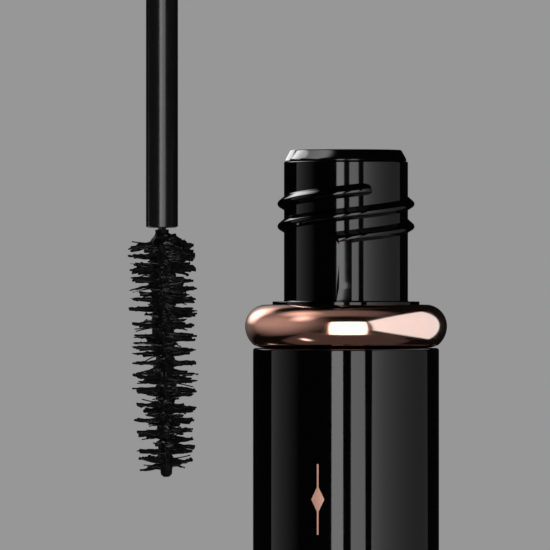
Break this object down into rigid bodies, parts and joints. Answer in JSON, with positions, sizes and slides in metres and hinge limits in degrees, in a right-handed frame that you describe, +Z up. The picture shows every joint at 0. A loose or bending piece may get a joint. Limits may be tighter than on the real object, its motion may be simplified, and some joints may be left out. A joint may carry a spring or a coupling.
{
  "type": "mascara tube",
  "caption": "Slim round mascara tube with a metallic collar and threaded neck, its capped wand and twisted-wire brush withdrawn beside it.",
  "frame": {"origin": "centre of the tube's base, on the surface it stands on", "axes": "+Z up along the tube's axis; the applicator hangs beside the tube towards -X; the front is -Y"},
  "size_m": [0.0378, 0.0202, 0.1559],
  "materials": {
    "barrel": "polished",
    "base": "gloss",
    "label": "satin",
    "bottle": "gloss",
    "collar": "polished",
    "wiper": "gloss",
    "formula": "satin",
    "cap": "polished",
    "inner_cap": "satin",
    "liner": "matte",
    "stem": "satin",
    "wire": "satin",
    "bristles": "satin"
  },
  "bodies": {
    "tube": {"outer_sleeve": "barrel", "base_cap": "base", "base_label": "label", "inner_bottle": "bottle", "collar_ring": "collar", "wiper_insert": "wiper", "mascara_fill": "formula"},
    "sealing_washer": {"cap_liner": "liner"},
    "applicator": {"cap_shell": "cap", "inner_cap": "inner_cap", "stem": "stem", "wire_core": "wire", "bristle_row_01": "bristles", "bristle_row_02": "bristles", "bristle_row_03": "bristles", "bristle_row_04": "bristles", "bristle_row_05": "bristles", "bristle_row_06": "bristles", "bristle_row_07": "bristles", "bristle_row_08": "bristles", "bristle_row_09": "bristles", "bristle_row_10": "bristles", "bristle_row_11": "bristles", "bristle_row_12": "bristles", "bristle_row_13": "bristles", "bristle_row_14": "bristles", "bristle_row_15": "bristles", "bristle_row_16": "bristles", "bristle_row_17": "bristles", "bristle_row_18": "bristles"}
  },
  "joints": [
    {"name": "applicator_carry", "type": "slide", "parent": "tube", "child": "sealing_washer", "axis": [0.2542, 0, 0.9671], "range_m": [0, 0.07238]},
    {"name": "applicator_twist", "type": "hinge", "parent": "sealing_washer", "child": "applicator", "pos_m": [-0.0184, 0, 0.121], "axis": [0, 0, 1], "range_deg": [-395, 0]}
  ]
}
